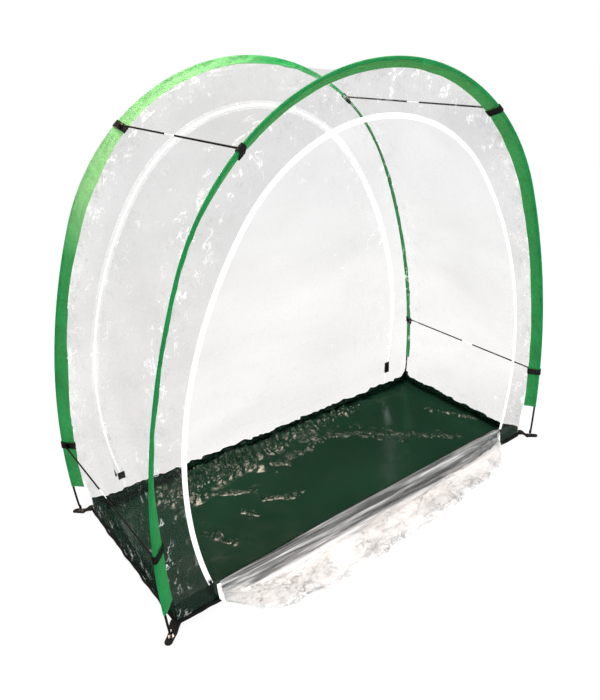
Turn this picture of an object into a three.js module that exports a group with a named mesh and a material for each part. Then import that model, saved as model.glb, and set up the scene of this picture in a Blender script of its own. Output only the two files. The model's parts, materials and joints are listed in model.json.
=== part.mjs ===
// A low pop up tunnel greenhouse: two arched rods in fabric sleeves hold a clear film skin over a
// tray groundsheet. Millimetres, +X along the long side, +Y from the open door to the closed one,
// +Z up. The origin is the centre of the groundsheet's underside.
import * as THREE from 'three';

// Driving dimensions
const HOOP_HALF_SPAN = 750;
const HOOP_HEIGHT = 1357;
const HOOP_CROWN_RADIUS = 658;
const HOOP_SIDE_CENTRE_Z = 189;
const HOOP_Y = 332;
const FIN_RADIAL = 34;
const FIN_Y = 30;
const LIP_HEIGHT = 70;
const SHEET_THICKNESS = 2;
const FILM_THICKNESS = 1;
const ZIP_HALF_SPAN = 597;
const ZIP_HEIGHT = 1218;
const ZIP_CROWN_RADIUS = 517;
const ZIP_SIDE_CENTRE_Z = 353;
const ZIP_TAPE_WIDTH = 17;
const ROD_RADIUS = 3.4;
const SLEEVE_BORE = 4.4;
const SLEEVE_RADIUS = 6.2;
const SLEEVE_BASE_Z = 100;
const LOOP_HEIGHTS = { lower: 271, upper: 1205 };
const LOOP_WIDTH = 24;
const LOOP_CLEARANCE = 0.8;
const LOOP_THICKNESS = 1.7;
const CORD_RADIUS = 2.5;
const TAB_WIDTH = 22;
const SLIDER_OFFSET = 6.2;
const GAP = 0.4;

// Worked out from them
const FILM_Y = HOOP_Y - FIN_Y;
const FLOOR_HALF_X = HOOP_HALF_SPAN - FIN_RADIAL;
const FILM_BASE_Z = LIP_HEIGHT + 3;
const TAPE_BASE_Z = FILM_BASE_Z + 3;
const FIN_LENGTH = Math.hypot(FIN_RADIAL, FIN_Y);
const PANEL_OUTER_Y = FILM_Y - 1;
const TAPE_INNER_Y = PANEL_OUTER_Y + GAP;
const TAPE_OUTER_Y = TAPE_INNER_Y + 1.2;
const SLIDER_INNER_Y = TAPE_OUTER_Y + GAP;
const SLIDER_OUTER_Y = SLIDER_INNER_Y + 4;

const material = (color, roughness, metalness = 0) =>
  new THREE.MeshStandardMaterial({ color, roughness, metalness });
const clearFilm = new THREE.MeshStandardMaterial({
  color: 0xeeeeee, roughness: 0.12, metalness: 0, transparent: true, opacity: 0.3,
});
const greenFabric = material(0x1e8a3e, 0.7);
const greenSheet = material(0x1f3a2a, 0.35);
const blackWebbing = material(0x17181a, 0.85);
const blackRod = material(0x141416, 0.4);
const whiteTape = material(0xf4f5f2, 0.75);
const steel = material(0xb8bbbe, 0.35, 1);
const brass = material(0x8a6b3c, 0.4, 1);

const greenhouse = new THREE.Group();

function add(name, geometry, look) {
  const mesh = new THREE.Mesh(geometry, look);
  mesh.name = name;
  greenhouse.add(mesh);
  return mesh;
}

// A three-centred arch standing on z = baseZ: two large side arcs run into a smaller crown arc.
function threeCentredArch(halfSpan, baseZ, height, crownRadius, sideZ) {
  const crownZ = height - crownRadius;
  const q = halfSpan ** 2 + (sideZ - baseZ) ** 2 - (sideZ - crownZ) ** 2 + crownRadius ** 2;
  const m = halfSpan / crownRadius;
  const n = q / (2 * crownRadius);
  const a = m * m - 1;
  const b = 2 * m * n - 2 * halfSpan;
  const c = n * n - halfSpan ** 2 - (sideZ - baseZ) ** 2;
  const sideX = (-b + Math.sqrt(b * b - 4 * a * c)) / (2 * a);
  const sideRadius = m * sideX + n;
  const tangentAngle = Math.atan2(crownZ - sideZ, sideX);
  return { crownZ, crownRadius, sideX, sideZ, sideRadius, tangentAngle };
}

// A point of the left side arc at height z, with its outward normal.
function sidePoint(arch, z) {
  const angle = Math.asin((z - arch.sideZ) / arch.sideRadius);
  return {
    x: arch.sideX - arch.sideRadius * Math.cos(angle),
    z,
    nx: -Math.cos(angle),
    nz: Math.sin(angle),
  };
}

// The point at any height on either side; side is -1 on the left and 1 on the right.
function archPoint(arch, z, side) {
  const tangentZ = arch.sideZ + arch.sideRadius * Math.sin(arch.tangentAngle);
  let point;
  if (z <= tangentZ) {
    point = sidePoint(arch, z);
  } else {
    const angle = Math.asin((z - arch.crownZ) / arch.crownRadius);
    point = {
      x: -arch.crownRadius * Math.cos(angle),
      z,
      nx: -Math.cos(angle),
      nz: Math.sin(angle),
    };
  }
  return { x: -side * point.x, z, nx: -side * point.nx, nz: point.nz };
}

// Points and normals from the left foot, over the crown, to the right foot.
function archStations(arch, startZ, sideSteps = 10, crownSteps = 30) {
  const stations = [];
  const startAngle = Math.asin((startZ - arch.sideZ) / arch.sideRadius);
  for (let i = 0; i < sideSteps; i += 1) {
    const t = startAngle + ((arch.tangentAngle - startAngle) * i) / sideSteps;
    stations.push({
      x: arch.sideX - arch.sideRadius * Math.cos(t),
      z: arch.sideZ + arch.sideRadius * Math.sin(t),
      nx: -Math.cos(t),
      nz: Math.sin(t),
    });
  }
  for (let i = 0; i <= crownSteps; i += 1) {
    const t = arch.tangentAngle + ((Math.PI - 2 * arch.tangentAngle) * i) / crownSteps;
    stations.push({
      x: -arch.crownRadius * Math.cos(t),
      z: arch.crownZ + arch.crownRadius * Math.sin(t),
      nx: -Math.cos(t),
      nz: Math.sin(t),
    });
  }
  for (let i = sideSteps - 1; i >= 0; i -= 1) {
    const left = stations[i];
    stations.push({ x: -left.x, z: left.z, nx: -left.nx, nz: left.nz });
  }
  return stations;
}

const offsetPoint = (station, u) => [station.x + u * station.nx, station.z + u * station.nz];

// Turns every face of a closed mesh outward.
function faceOutward(positions, triangles) {
  let volume = 0;
  const a = new THREE.Vector3();
  const b = new THREE.Vector3();
  const c = new THREE.Vector3();
  triangles.forEach(([i, j, k]) => {
    a.fromArray(positions[i]);
    b.fromArray(positions[j]);
    c.fromArray(positions[k]);
    volume += a.dot(b.cross(c));
  });
  const outward = volume > 0 ? triangles : triangles.map(([i, j, k]) => [i, k, j]);
  const geometry = new THREE.BufferGeometry();
  geometry.setAttribute('position', new THREE.Float32BufferAttribute(positions.flat(), 3));
  geometry.setIndex(outward.flat());
  geometry.computeVertexNormals();
  return geometry;
}

// Joins rings of equal count into one closed solid. Each ring is an outline with optional holes,
// and the section in the plane is triangulated once for both end caps.
function loft(rings, section, holes = []) {
  const contours = [section, ...holes];
  const positions = rings.flat();
  const count = contours.reduce((sum, contour) => sum + contour.length, 0);
  const triangles = [];
  for (let r = 0; r < rings.length - 1; r += 1) {
    let start = 0;
    contours.forEach((contour) => {
      for (let i = 0; i < contour.length; i += 1) {
        const j = (i + 1) % contour.length;
        const a = r * count + start + i;
        const b = r * count + start + j;
        triangles.push([a, b, a + count], [b, b + count, a + count]);
      }
      start += contour.length;
    });
  }
  const last = (rings.length - 1) * count;
  THREE.ShapeUtils.triangulateShape(section, holes).forEach(([i, j, k]) => {
    triangles.push([i, k, j], [last + i, last + j, last + k]);
  });
  return faceOutward(positions, triangles);
}

// Runs a section (u along the arch's normal, v along Y) through stations of an arch. The outline
// turns anticlockwise and its holes clockwise.
function sweep(stations, y, outline, holes = []) {
  const points = [outline, ...holes].flat();
  const rings = stations.map((s) =>
    points.map((p) => [s.x + p.x * s.nx, y + p.y, s.z + p.x * s.nz]));
  return loft(rings, outline, holes);
}

const vec = (x, y) => new THREE.Vector2(x, y);

function ordered(points, clockwise) {
  return THREE.ShapeUtils.isClockWise(points) === clockwise ? points : points.slice().reverse();
}

function circle(radius, sides) {
  const points = [];
  for (let i = 0; i < sides; i += 1) {
    const t = (2 * Math.PI * i) / sides;
    points.push(vec(radius * Math.cos(t), radius * Math.sin(t)));
  }
  return points;
}

// Turns (along the fin, across it) into (u, v). inward is 1 on the front hoop, -1 on the rear.
function finPlane(points, inward) {
  const du = -FIN_RADIAL / FIN_LENGTH;
  const dv = (inward * FIN_Y) / FIN_LENGTH;
  return points.map((p) => vec(p.x * du - p.y * inward * dv, p.x * dv + p.y * inward * du));
}

// A round back about the rod that narrows into two straight legs, as (along, across) points.
function teardrop(radius, legEnd, legHalf, sides = 10) {
  const points = [vec(legEnd, legHalf)];
  const open = 0.42 * Math.PI;
  for (let i = 0; i <= sides; i += 1) {
    const t = open + ((2 * Math.PI - 2 * open) * i) / sides;
    points.push(vec(radius * Math.cos(t), radius * Math.sin(t)));
  }
  points.push(vec(legEnd, -legHalf));
  return points;
}

const hoop = threeCentredArch(
  HOOP_HALF_SPAN, 0, HOOP_HEIGHT, HOOP_CROWN_RADIUS, HOOP_SIDE_CENTRE_Z);
const zip = threeCentredArch(
  ZIP_HALF_SPAN, LIP_HEIGHT, ZIP_HEIGHT, ZIP_CROWN_RADIUS, ZIP_SIDE_CENTRE_Z);

// Groundsheet: a tray with a raised lip, and a binding round the foot of the lip.
function rectangle(halfX, halfY) {
  return [vec(-halfX, -halfY), vec(halfX, -halfY), vec(halfX, halfY), vec(-halfX, halfY)];
}

function trayGeometry() {
  const inner = SHEET_THICKNESS;
  const levels = [
    [FLOOR_HALF_X, FILM_Y, 0],
    [FLOOR_HALF_X, FILM_Y, LIP_HEIGHT],
    [FLOOR_HALF_X - inner, FILM_Y - inner, LIP_HEIGHT],
    [FLOOR_HALF_X - inner, FILM_Y - inner, SHEET_THICKNESS],
  ];
  const rings = levels.map(([x, y, z]) => rectangle(x, y).map((p) => [p.x, p.y, z]));
  return loft(rings, rectangle(FLOOR_HALF_X, FILM_Y));
}

function bindingGeometry() {
  const shape = new THREE.Shape(rectangle(FLOOR_HALF_X + 3.4, FILM_Y + 3.4));
  shape.holes.push(new THREE.Path(rectangle(FLOOR_HALF_X + GAP, FILM_Y + GAP).reverse()));
  return new THREE.ExtrudeGeometry(shape, { depth: 10, bevelEnabled: false });
}

// An upright plate between two Y values, drawn in X and Z.
function plate(points, holes, yLow, yHigh) {
  const shape = new THREE.Shape(points.map(([x, z]) => vec(x, z)));
  holes.forEach((hole) => shape.holes.push(new THREE.Path(hole.map(([x, z]) => vec(x, z)))));
  const geometry = new THREE.ExtrudeGeometry(shape, {
    depth: yHigh - yLow, bevelEnabled: false,
  });
  geometry.rotateX(Math.PI / 2);
  geometry.translate(0, yHigh, 0);
  return geometry;
}

function archLine(arch, startZ, u) {
  return archStations(arch, startZ).map((s) => offsetPoint(s, u));
}

// The end wall around the doorway: the film arch outside, the zip arch inside, open at the sill.
function panelGeometry(inward) {
  const outer = archLine(hoop, FILM_BASE_Z, -FIN_RADIAL - 1);
  const inner = archLine(zip, FILM_BASE_Z, 6).reverse();
  const near = inward * PANEL_OUTER_Y;
  const far = inward * (PANEL_OUTER_Y - FILM_THICKNESS);
  return plate([...outer, ...inner], [], Math.min(near, far), Math.max(near, far));
}

function doorGeometry() {
  return plate(archLine(zip, FILM_BASE_Z, -6), [], PANEL_OUTER_Y - FILM_THICKNESS, PANEL_OUTER_Y);
}

// A zip tape: a flat band between two offsets from the zip's line.
function tapeGeometry(uLow, uHigh, outward) {
  const outer = archLine(zip, TAPE_BASE_Z, uHigh);
  const inner = archLine(zip, TAPE_BASE_Z, uLow).reverse();
  const near = outward * TAPE_INNER_Y;
  const far = outward * TAPE_OUTER_Y;
  return plate([...outer, ...inner], [], Math.min(near, far), Math.max(near, far));
}

function strip(arch, uLow, uHigh, yLow, yHigh, startZ) {
  const section = [vec(uLow, yLow), vec(uHigh, yLow), vec(uHigh, yHigh), vec(uLow, yHigh)];
  return sweep(archStations(arch, startZ), 0, ordered(section, false));
}

add('groundsheet', trayGeometry(), greenSheet);
add('floor_binding', bindingGeometry(), blackWebbing);
add('roof_film', strip(hoop, -FIN_RADIAL - FILM_THICKNESS / 2, -FIN_RADIAL + FILM_THICKNESS / 2,
  -FILM_Y, FILM_Y, FILM_BASE_Z + 2), clearFilm);
add('front_panel', panelGeometry(-1), clearFilm);
add('rear_panel', panelGeometry(1), clearFilm);
add('rear_door', doorGeometry(), clearFilm);
add('front_zip_tape', tapeGeometry(1, 1 + ZIP_TAPE_WIDTH, -1), whiteTape);
add('rear_zip_tape', tapeGeometry(1, 1 + ZIP_TAPE_WIDTH, 1), whiteTape);
add('rear_door_zip_tape', tapeGeometry(-1 - ZIP_TAPE_WIDTH, -1, 1), whiteTape);

// Each hoop: a rod in a fin-shaped sleeve, webbing loops, metal tips, and tabs with eyelets.
function sleeveGeometry(inward) {
  const outline = finPlane(teardrop(SLEEVE_RADIUS, FIN_LENGTH - 3, 1), inward);
  const bore = circle(SLEEVE_BORE, 8);
  return sweep(archStations(hoop, SLEEVE_BASE_Z), -inward * HOOP_Y,
    ordered(outline, false), [ordered(bore, true)]);
}

function rodGeometry(inward) {
  return sweep(archStations(hoop, 26), -inward * HOOP_Y, ordered(circle(ROD_RADIUS, 8), false));
}

function loopGeometry(inward, height, side) {
  const bore = SLEEVE_RADIUS + LOOP_CLEARANCE;
  const leg = 1 + LOOP_CLEARANCE;
  const outer = teardrop(bore + LOOP_THICKNESS, FIN_LENGTH - 5, leg + LOOP_THICKNESS);
  const inner = teardrop(bore, FIN_LENGTH - 5, leg).reverse();
  const outline = ordered(finPlane([...outer, ...inner], inward), false);
  const p = archPoint(hoop, height, side);
  const ends = [-0.5, 0.5].map((t) => ({
    ...p, x: p.x - t * LOOP_WIDTH * p.nz, z: p.z + t * LOOP_WIDTH * p.nx,
  }));
  return sweep(ends, -inward * HOOP_Y, outline);
}

// A domed snap button standing on the loop's inner leg.
function placeButton(name, inward, height, side) {
  const profile = [vec(0, 0), vec(6.5, 0), vec(6.5, 1.2), vec(4.6, 2.6), vec(0, 3.2)];
  const mesh = add(name, new THREE.LatheGeometry(profile, 16), brass);
  const p = archPoint(hoop, height, side);
  const du = -FIN_RADIAL / FIN_LENGTH;
  const dv = (inward * FIN_Y) / FIN_LENGTH;
  const across = [Math.abs(dv), -inward * du];
  const along = 24;
  const lift = 7.2;
  const u = along * du + lift * across[0];
  const v = along * dv + lift * across[1];
  mesh.position.set(p.x + u * p.nx, -inward * HOOP_Y + v, p.z + u * p.nz);
  const axis = new THREE.Vector3(across[0] * p.nx, across[1], across[0] * p.nz).normalize();
  mesh.quaternion.setFromUnitVectors(new THREE.Vector3(0, 1, 0), axis);
}

function tipGeometry() {
  const profile = [vec(0, 2), vec(2.2, 3), vec(2.2, 13), vec(4.3, 14), vec(4.3, 25), vec(0, 25)];
  return new THREE.LatheGeometry(profile, 12).rotateX(Math.PI / 2);
}

function eyeletGeometry() {
  const profile = [
    vec(3.6, 0.2), vec(8, 0.2), vec(8, 1.1), vec(5, 1.1), vec(5, 3.9), vec(8, 3.9), vec(8, 4.8),
    vec(3.6, 4.8), vec(3.6, 0.2),
  ];
  return new THREE.LatheGeometry(profile, 20).rotateX(Math.PI / 2);
}

// A webbing tab lying along local +X, from the sheet's corner past the rod's eyelet.
function tabGeometry() {
  const half = TAB_WIDTH / 2;
  const start = 6 - FIN_LENGTH;
  const end = 17;
  const shape = new THREE.Shape();
  shape.moveTo(start + half, -half);
  shape.lineTo(end, -half);
  shape.absarc(end, 0, half, -Math.PI / 2, Math.PI / 2, false);
  shape.lineTo(start + half, half);
  shape.lineTo(start, 0);
  shape.closePath();
  const hole = new THREE.Path();
  hole.absarc(0, 0, 5.4, 0, 2 * Math.PI, true);
  shape.holes.push(hole);
  const geometry = new THREE.ExtrudeGeometry(shape, {
    depth: 1.5, bevelEnabled: false, curveSegments: 12,
  });
  return geometry.translate(0, 0, 1.7);
}

const SIDES = { left: -1, right: 1 };
const HOOPS = { front: 1, rear: -1 };

Object.entries(HOOPS).forEach(([end, inward]) => {
  add(`${end}_rod`, rodGeometry(inward), blackRod);
  add(`${end}_sleeve`, sleeveGeometry(inward), greenFabric);
  Object.entries(SIDES).forEach(([sideName, side]) => {
    const foot = [side * HOOP_HALF_SPAN, -inward * HOOP_Y];
    add(`${end}_rod_tip_${sideName}`, tipGeometry(), steel).position.set(foot[0], foot[1], 0);
    add(`${end}_eyelet_${sideName}`, eyeletGeometry(), steel).position.set(foot[0], foot[1], 0);
    const tab = add(`${end}_corner_tab_${sideName}`, tabGeometry(), blackWebbing);
    tab.position.set(foot[0], foot[1], 0);
    tab.rotation.z = Math.atan2(-inward * FIN_Y, side * FIN_RADIAL);
    Object.entries(LOOP_HEIGHTS).forEach(([level, height]) => {
      const place = `${level}_${sideName}`;
      add(`${end}_loop_${place}`, loopGeometry(inward, height, side), blackWebbing);
      if (end === 'rear') placeButton(`rear_snap_${place}`, inward, height, side);
    });
  });
});

// Elastic cords straight across between the loops of the two hoops.
Object.entries(SIDES).forEach(([sideName, side]) => {
  Object.entries(LOOP_HEIGHTS).forEach(([level, height]) => {
    const p = archPoint(hoop, height, side);
    const length = 2 * (HOOP_Y - 14);
    const cord = add(`cross_cord_${level}_${sideName}`,
      new THREE.CylinderGeometry(CORD_RADIUS, CORD_RADIUS, length, 8), blackWebbing);
    cord.position.set(p.x, 0, p.z);
  });
});

// Webbing patches inside the foot of the closed zip.
Object.entries(SIDES).forEach(([sideName, side]) => {
  const p = archPoint(zip, 100, side);
  const patch = add(`rear_zip_patch_${sideName}`, new THREE.BoxGeometry(34, 1, 56), blackWebbing);
  patch.position.set(p.x, FILM_Y - 3, 102);
});

// One slider and pull per zip, parked at the left end of each.
function sliderGeometry() {
  const shape = new THREE.Shape([vec(-3, -8), vec(3, -8), vec(4.6, 2), vec(4.6, 8),
    vec(-4.6, 8), vec(-4.6, 2)]);
  const geometry = new THREE.ExtrudeGeometry(shape, {
    depth: SLIDER_OUTER_Y - SLIDER_INNER_Y, bevelEnabled: false,
  });
  return geometry.rotateX(Math.PI / 2);
}

function pullGeometry() {
  const shape = new THREE.Shape();
  shape.moveTo(-3, 0);
  shape.absarc(0, 0, 3, Math.PI, 0, true);
  shape.lineTo(3.4, -42);
  shape.absarc(0, -42, 3.4, 0, Math.PI, true);
  shape.closePath();
  const geometry = new THREE.ExtrudeGeometry(shape, {
    depth: 1.6, bevelEnabled: false, curveSegments: 8,
  });
  return geometry.rotateX(Math.PI / 2);
}

function addSlider(end, outward, height) {
  const p = archPoint(zip, height, -1);
  const [x, z] = offsetPoint(p, SLIDER_OFFSET);
  const slider = add(`${end}_zip_slider`, sliderGeometry(), steel);
  const sliderFront = outward > 0 ? SLIDER_OUTER_Y : -SLIDER_INNER_Y;
  slider.position.set(x, sliderFront, z);
  slider.rotation.y = Math.asin((height - zip.sideZ) / zip.sideRadius);
  const pull = add(`${end}_zip_pull`, pullGeometry(), blackWebbing);
  const pullFront = outward > 0 ? SLIDER_OUTER_Y + GAP + 1.6 : -SLIDER_OUTER_Y - GAP;
  pull.position.set(x, pullFront, z);
}

addSlider('front', -1, 86);
addSlider('rear', 1, 142);

// The open door lies in a heap outside the sill. Its front edge and height wander along X.
const HEAP_LEFT = -580;
const HEAP_RIGHT = 590;
const HEAP_STEPS = 60;

function heapEnd(x) {
  const left = Math.min(1, (x - HEAP_LEFT) / 90);
  const right = Math.min(1, (HEAP_RIGHT - x) / 40);
  return Math.sqrt(Math.max(0.02, left)) * Math.pow(Math.max(0.3, right), 0.35);
}

function heapFront(x) {
  const bulge = 45 * Math.exp(-(((x + 300) / 170) ** 2));
  const ripple = 5 * Math.sin(x / 37) + 4 * Math.sin(x / 19 + 1);
  return -FILM_Y - 14 - (112 + bulge + ripple) * heapEnd(x);
}

function heapHeight(x) {
  return 30 + 5 * Math.sin(x / 43 + 0.6) + 4 * Math.sin(x / 23);
}

function heapRing(x) {
  const back = -FILM_Y - 4.2;
  const front = heapFront(x);
  const top = heapHeight(x);
  const reach = front - back;
  return [
    [back, 0.2], [front, 0.2], [front, 9], [back + reach * 0.8, top * 0.75],
    [back + reach * 0.45, top], [back - 9, 52], [back - 3, 71], [back, 71],
  ].reverse().map(([y, z]) => [x, y, z]);
}

function heapStations() {
  const stations = [];
  for (let i = 0; i <= HEAP_STEPS; i += 1) {
    stations.push(HEAP_LEFT + ((HEAP_RIGHT - HEAP_LEFT) * i) / HEAP_STEPS);
  }
  return stations;
}

function heapGeometry() {
  const rings = heapStations().map(heapRing);
  const section = rings[0].map(([, y, z]) => vec(y, z));
  return loft(rings, section);
}

// The door's own zip tape: a ribbon on edge round the heap, climbing to the sill at both ends.
function doorTapeGeometry() {
  const clearance = 3;
  const line = heapStations().map((x) => [x, heapFront(x)]);
  const front = line.map(([x, y], i) => {
    const before = line[Math.max(0, i - 1)];
    const after = line[Math.min(line.length - 1, i + 1)];
    const dx = after[0] - before[0];
    const dy = after[1] - before[1];
    const scale = clearance / Math.hypot(dx, dy);
    return [x + dy * scale, y - dx * scale, 9];
  });
  const left = HEAP_LEFT - clearance;
  const right = HEAP_RIGHT + clearance;
  const climb = [[4.4, 62], [9, 48], [13, 26]];
  const path = [
    ...climb.map(([out, z]) => [left, -FILM_Y - out, z]),
    ...front,
    ...climb.reverse().map(([out, z]) => [right, -FILM_Y - out, z]),
  ];
  const rings = path.map((p, i) => {
    const before = path[Math.max(0, i - 1)];
    const after = path[Math.min(path.length - 1, i + 1)];
    const length = Math.hypot(after[0] - before[0], after[1] - before[1]);
    const nx = (-(after[1] - before[1]) / length) * 0.6;
    const ny = ((after[0] - before[0]) / length) * 0.6;
    return [[-1, -1], [1, -1], [1, 1], [-1, 1]].map(([s, t]) =>
      [p[0] + s * nx, p[1] + s * ny, p[2] + t * (ZIP_TAPE_WIDTH / 2)]);
  });
  return loft(rings, [vec(-1, -1), vec(1, -1), vec(1, 1), vec(-1, 1)]);
}

add('front_door', heapGeometry(), clearFilm);
add('front_door_zip_tape', doorTapeGeometry(), whiteTape);

export default greenhouse;
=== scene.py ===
"""A low pop up tunnel greenhouse: two arched rods in fabric sleeves, a clear film skin, a tray
groundsheet, an open zipped door lying in front and a closed one behind. Metres, +Z up."""

import json
import math

import bmesh
import bpy
import numpy as np
from mathutils import Matrix, Vector


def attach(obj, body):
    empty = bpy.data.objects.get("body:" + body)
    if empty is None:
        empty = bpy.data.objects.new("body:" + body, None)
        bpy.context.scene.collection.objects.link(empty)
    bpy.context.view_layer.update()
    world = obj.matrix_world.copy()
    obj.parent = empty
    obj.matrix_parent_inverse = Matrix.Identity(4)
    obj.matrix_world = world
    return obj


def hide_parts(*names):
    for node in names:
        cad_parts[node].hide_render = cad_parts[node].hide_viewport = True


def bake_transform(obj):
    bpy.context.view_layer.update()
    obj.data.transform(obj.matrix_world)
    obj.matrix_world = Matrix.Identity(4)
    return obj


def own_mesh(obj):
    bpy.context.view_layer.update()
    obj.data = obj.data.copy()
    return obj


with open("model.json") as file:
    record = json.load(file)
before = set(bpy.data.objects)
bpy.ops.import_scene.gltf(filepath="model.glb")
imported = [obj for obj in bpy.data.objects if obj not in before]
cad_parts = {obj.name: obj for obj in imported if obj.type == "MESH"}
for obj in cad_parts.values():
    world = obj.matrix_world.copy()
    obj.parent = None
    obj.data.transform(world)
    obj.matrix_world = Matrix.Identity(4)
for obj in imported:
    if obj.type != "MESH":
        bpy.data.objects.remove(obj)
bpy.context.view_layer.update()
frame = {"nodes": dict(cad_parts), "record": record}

# The model's own dimensions, as the CAD has them
HOOP_Y = 0.332
HOOP_HALF_SPAN = 0.750
FIN_Y = 0.030
FILM_Y = HOOP_Y - FIN_Y
FLOOR_HALF_X = 0.716
LIP = 0.070
FILM_BASE = 0.073
SKIRT_BASE = 0.009
ZIP_TAPE = 0.017
ROD_RADIUS = 0.0034
CORD_RADIUS = 0.0025
CORD_END_Y = HOOP_Y - 0.014
LOOP_HEIGHTS = {"lower": 0.271, "upper": 1.205}
ROD_FOOT_Z = 0.026
COIL_RADIUS = 0.0014
COIL_SIDES = 6
TAPE_THICKNESS = 0.0009
ZIP_Y = 0.3020
COIL_Y = 0.3034
PATCH_Y = 0.2988
PATCH_Z = 0.098
ZIP_SEAM = 0.004
SKIRT_OUT = 0.0024
STRAIGHTEN_Z = 0.16
ENDS = (("front", 1, "front_arch"), ("rear", -1, "base"))
SIDES = (("left", -1), ("right", 1))


# ---------------------------------------------------------------- camera
CAMERA_PLACE = (-1.190, -1.603, 1.433)
YAW_PITCH_ROLL = (35.24, 25.47, -2.75)
LENS = 34.9


def make_camera():
    position = Vector(CAMERA_PLACE)
    yaw, pitch, roll = (math.radians(a) for a in YAW_PITCH_ROLL)
    forward = Vector(
        (math.sin(yaw) * math.cos(pitch), math.cos(yaw) * math.cos(pitch), -math.sin(pitch))
    )
    level_right = Vector((math.cos(yaw), -math.sin(yaw), 0))
    level_up = level_right.cross(forward)
    right = math.cos(roll) * level_right + math.sin(roll) * level_up
    up = -math.sin(roll) * level_right + math.cos(roll) * level_up
    data = bpy.data.cameras.new("camera")
    data.sensor_width = 36
    data.lens = LENS
    data.clip_start = 0.05
    camera = bpy.data.objects.new("camera", data)
    bpy.context.scene.collection.objects.link(camera)
    turn = Matrix((right, up, -forward)).transposed().to_4x4()
    camera.matrix_world = Matrix.Translation(position) @ turn
    bpy.context.scene.camera = camera


# ---------------------------------------------------------------- arches
class Arch:
    """A three-centred arch: two large side arcs that run into a smaller crown arc."""

    def __init__(self, half_span, base, height, crown_radius, side_z):
        self.crown_z = height - crown_radius
        self.crown_radius = crown_radius
        self.side_z = side_z
        q = (
            half_span**2
            + (side_z - base) ** 2
            - (side_z - self.crown_z) ** 2
            + crown_radius**2
        )
        m = half_span / crown_radius
        n = q / (2 * crown_radius)
        a = m * m - 1
        b = 2 * m * n - 2 * half_span
        c = n * n - half_span**2 - (side_z - base) ** 2
        self.side_x = (-b + math.sqrt(b * b - 4 * a * c)) / (2 * a)
        self.side_radius = m * self.side_x + n
        self.tangent = math.atan2(self.crown_z - side_z, self.side_x)

    def half(self, start_z):
        """Start angle, side length and half crown length of the left half above start_z."""
        start = math.asin((start_z - self.side_z) / self.side_radius)
        side = self.side_radius * (self.tangent - start)
        crown = self.crown_radius * (math.pi / 2 - self.tangent)
        return start, side, crown

    def length(self, start_z):
        _, side, crown = self.half(start_z)
        return 2 * (side + crown)

    def stations(self, start_z, count, end_z=None):
        """x, z, nx, nz arrays at even steps from the left end, over the crown, to the right."""
        start, side, crown = self.half(start_z)
        _, side_right, _ = self.half(start_z if end_z is None else end_z)
        walk = np.linspace(0, side + 2 * crown + side_right, count)
        total = side + 2 * crown
        angle = np.where(
            walk < side,
            start + walk / self.side_radius,
            self.tangent + (walk - side) / self.crown_radius,
        )
        x = np.where(
            walk < side,
            self.side_x - self.side_radius * np.cos(angle),
            -self.crown_radius * np.cos(angle),
        )
        z = np.where(
            walk < side,
            self.side_z + self.side_radius * np.sin(angle),
            self.crown_z + self.crown_radius * np.sin(angle),
        )
        nx, nz = -np.cos(angle), np.sin(angle)
        far = walk > total
        back = self.tangent - (walk - total) / self.side_radius
        x = np.where(far, -self.side_x + self.side_radius * np.cos(back), x)
        z = np.where(far, self.side_z + self.side_radius * np.sin(back), z)
        nx = np.where(far, np.cos(back), nx)
        nz = np.where(far, np.sin(back), nz)
        return x, z, nx, nz

    def point(self, z, side):
        """x, nx, nz at height z on the left (-1) or right (1)."""
        tangent_z = self.side_z + self.side_radius * math.sin(self.tangent)
        if z <= tangent_z:
            angle = math.asin((z - self.side_z) / self.side_radius)
            x = self.side_x - self.side_radius * math.cos(angle)
        else:
            angle = math.asin((z - self.crown_z) / self.crown_radius)
            x = -self.crown_radius * math.cos(angle)
        return -side * x, side * math.cos(angle), math.sin(angle)


HOOP = Arch(HOOP_HALF_SPAN, 0.0, 1.357, 0.658, 0.189)
ZIP = Arch(0.597, 0.070, 1.218, 0.517, 0.353)

# How far inside the rod the fabric's seam runs, as (share of the way over the hoop, metres)
SEAM_DEPTHS = {
    "front": ((0, 0.038), (0.03, 0.037), (0.06, 0.032), (0.09, 0.028), (0.12, 0.021),
              (0.30, 0.022), (0.34, 0.0265), (0.39, 0.0285), (0.44, 0.027), (0.50, 0.024),
              (0.55, 0.018), (0.66, 0.018), (0.69, 0.023), (0.72, 0.018), (0.80, 0.016),
              (0.91, 0.018), (0.97, 0.021), (1, 0.022)),
    "rear": ((0, 0.026), (0.14, 0.026), (0.19, 0.018), (0.22, 0.018), (0.26, 0.024),
             (0.30, 0.031), (0.33, 0.022), (0.38, 0.017), (0.44, 0.017), (0.50, 0.019),
             (0.75, 0.015), (1, 0.017)),
}


def seam_depth(end, share):
    """The seam's depth below the rod: smooth between the listed places, with a slight wobble."""
    places, depths = np.array(SEAM_DEPTHS[end]).T
    fine = np.linspace(0, 1, 401)
    listed = np.interp(fine, places, depths)
    window = np.hanning(33)
    padded = np.pad(listed, 16, mode="edge")
    smooth = np.convolve(padded, window / window.sum(), mode="valid")
    wobble = 0.0014 * noise2(fine * 3.2, fine * 0, 5 if end == "front" else 6, 0.045)
    return np.interp(share, fine, smooth + wobble)


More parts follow.
